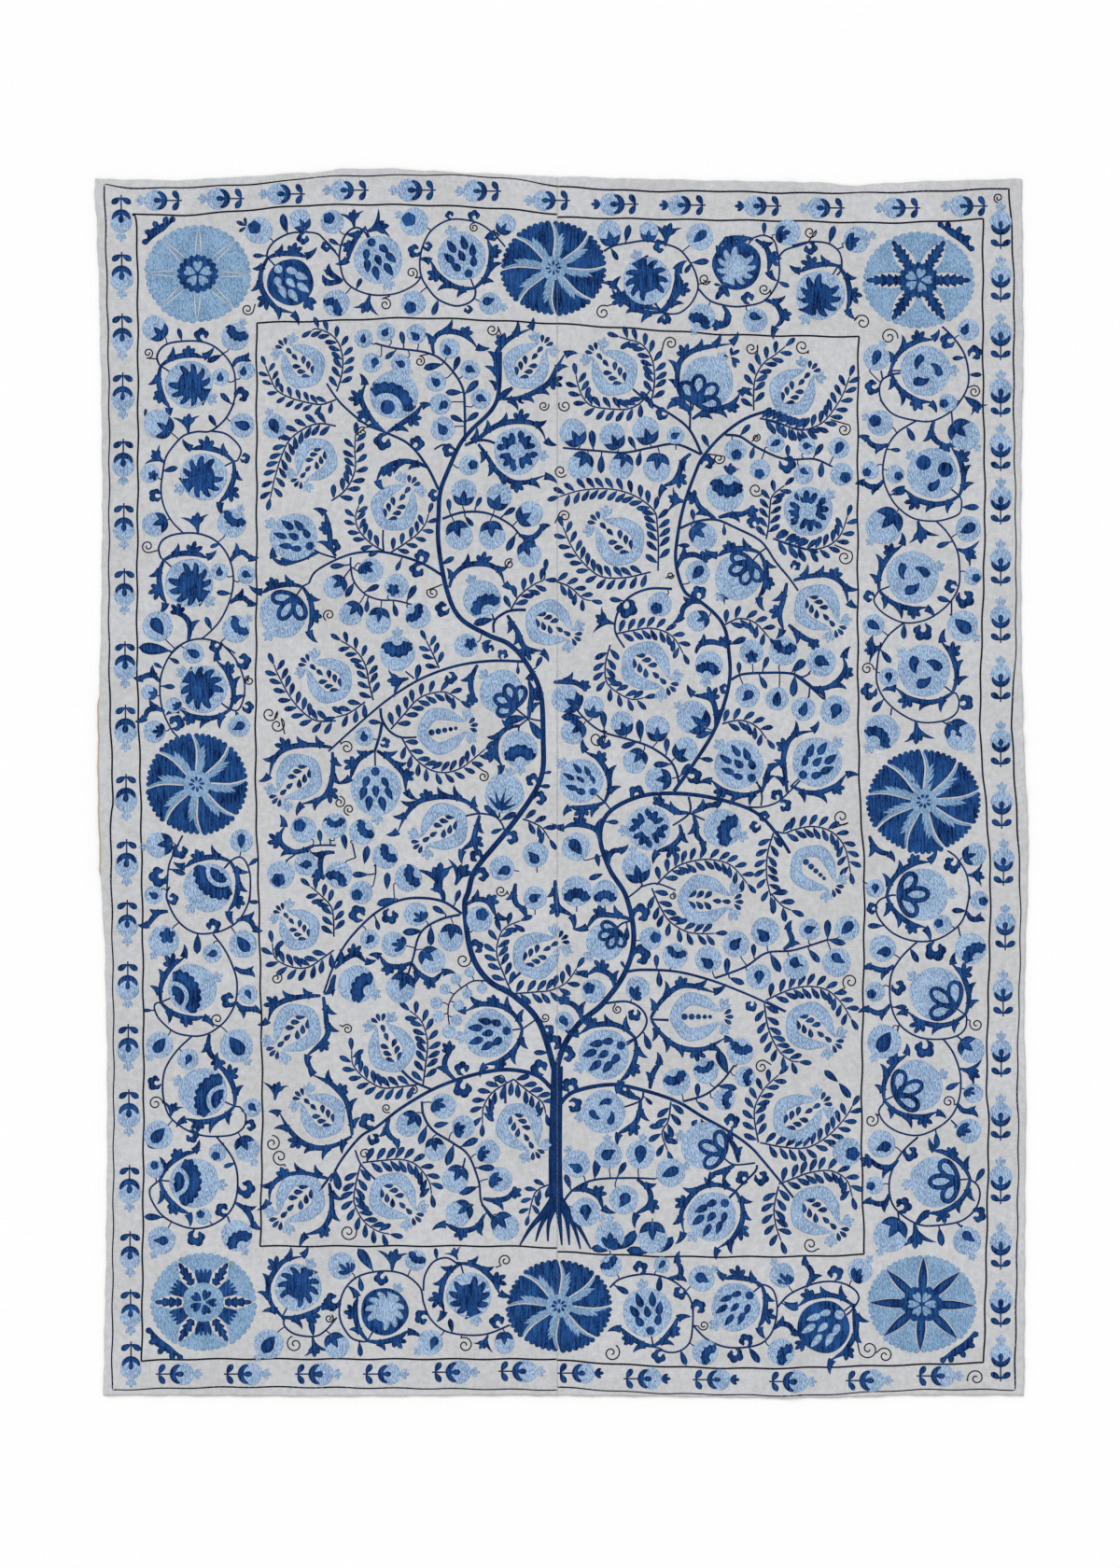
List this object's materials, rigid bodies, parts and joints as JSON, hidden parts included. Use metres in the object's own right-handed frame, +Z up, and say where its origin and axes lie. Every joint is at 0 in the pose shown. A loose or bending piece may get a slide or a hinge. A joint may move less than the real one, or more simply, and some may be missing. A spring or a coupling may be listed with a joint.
{
  "type": "suzani embroidered textile",
  "caption": "Large embroidered suzani hanging lying flat and face up: pale cloth panels seamed side by side over a thin lining, with blue needlework vines and fruit.",
  "frame": {"origin": "centre of the cloth in plan, at the height of the surface it rests on", "axes": "+Z up out of the embroidered face, +Y towards the cloth's top edge, +X to the right as seen from above"},
  "size_m": [1.7496, 2.3047, 0.0052],
  "materials": {
    "panel_left": "matte",
    "panel_right": "matte",
    "lining": "matte"
  },
  "bodies": {
    "root": {"panel_left": "panel_left", "panel_right": "panel_right", "lining": "lining"}
  },
  "joints": []
}
